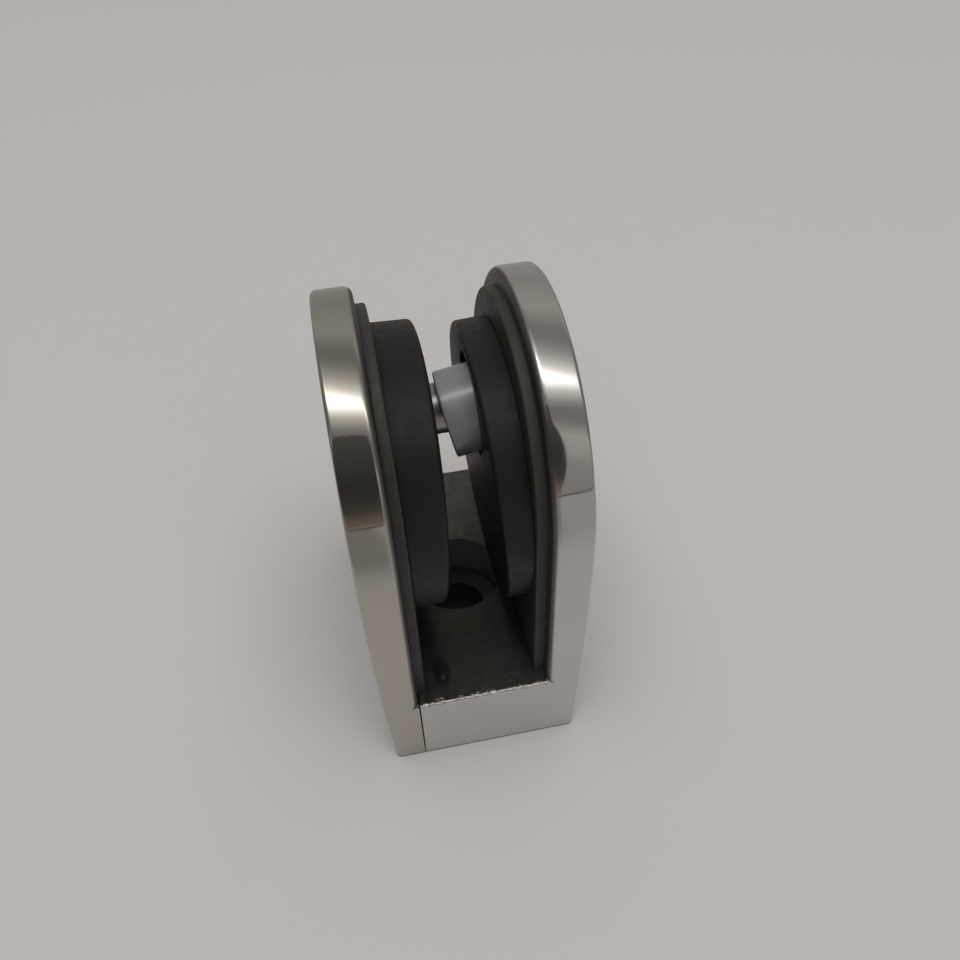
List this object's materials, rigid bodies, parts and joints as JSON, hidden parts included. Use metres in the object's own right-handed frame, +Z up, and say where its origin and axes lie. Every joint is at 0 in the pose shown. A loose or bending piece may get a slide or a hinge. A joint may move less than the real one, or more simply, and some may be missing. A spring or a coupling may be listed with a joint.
{
  "type": "glass clamp",
  "caption": "Flat-back D-shaped clamp for a glass panel: polished body and screwed cover plate with tapered rubber pads and a safety pin.",
  "frame": {"origin": "middle of the flat mounting face, half way between the outer faces of the two plates", "axes": "+Z up from the mounting face to the round end, +X from the cover towards the body's plate, +Y along the web, so the glass lies in the YZ plane"},
  "size_m": [0.0292, 0.045, 0.063],
  "materials": {
    "polished_steel": "mirror-polished outside, raw and dark inside",
    "sheet_rubber": "matt sheet rubber",
    "pad_rubber": "matt moulded rubber",
    "turned_steel": "fine turned",
    "sleeve_plastic": "satin",
    "screw_steel": "satin"
  },
  "bodies": {
    "body": {"clamp_body": "polished_steel", "body_sheet": "sheet_rubber", "body_pad": "pad_rubber", "safety_pin": "turned_steel", "pin_sleeve": "sleeve_plastic"},
    "cover": {"cover_plate": "polished_steel", "cover_sheet": "sheet_rubber", "cover_pad": "pad_rubber"},
    "screw_front": {"cover_screw_front": "screw_steel"},
    "screw_rear": {"cover_screw_rear": "screw_steel"}
  },
  "joints": [
    {"name": "cover_slide", "type": "slide", "parent": "body", "child": "cover", "axis": [-1, 0, 0], "range_m": [0, 0.004]},
    {"name": "screw_front_turn", "type": "hinge", "parent": "cover", "child": "screw_front", "pos_m": [-0.0135, -0.0135, 0.0063], "axis": [-1, 0, 0], "range_deg": [0, 1800]},
    {"name": "screw_rear_turn", "type": "hinge", "parent": "cover", "child": "screw_rear", "pos_m": [-0.0135, 0.0135, 0.0063], "axis": [-1, 0, 0], "range_deg": [0, 1800]}
  ],
  "couplings": [
    {"joint": "screw_front_turn", "follows": "cover_slide", "rad_per_m": 7854},
    {"joint": "screw_rear_turn", "follows": "cover_slide", "rad_per_m": 7854}
  ]
}
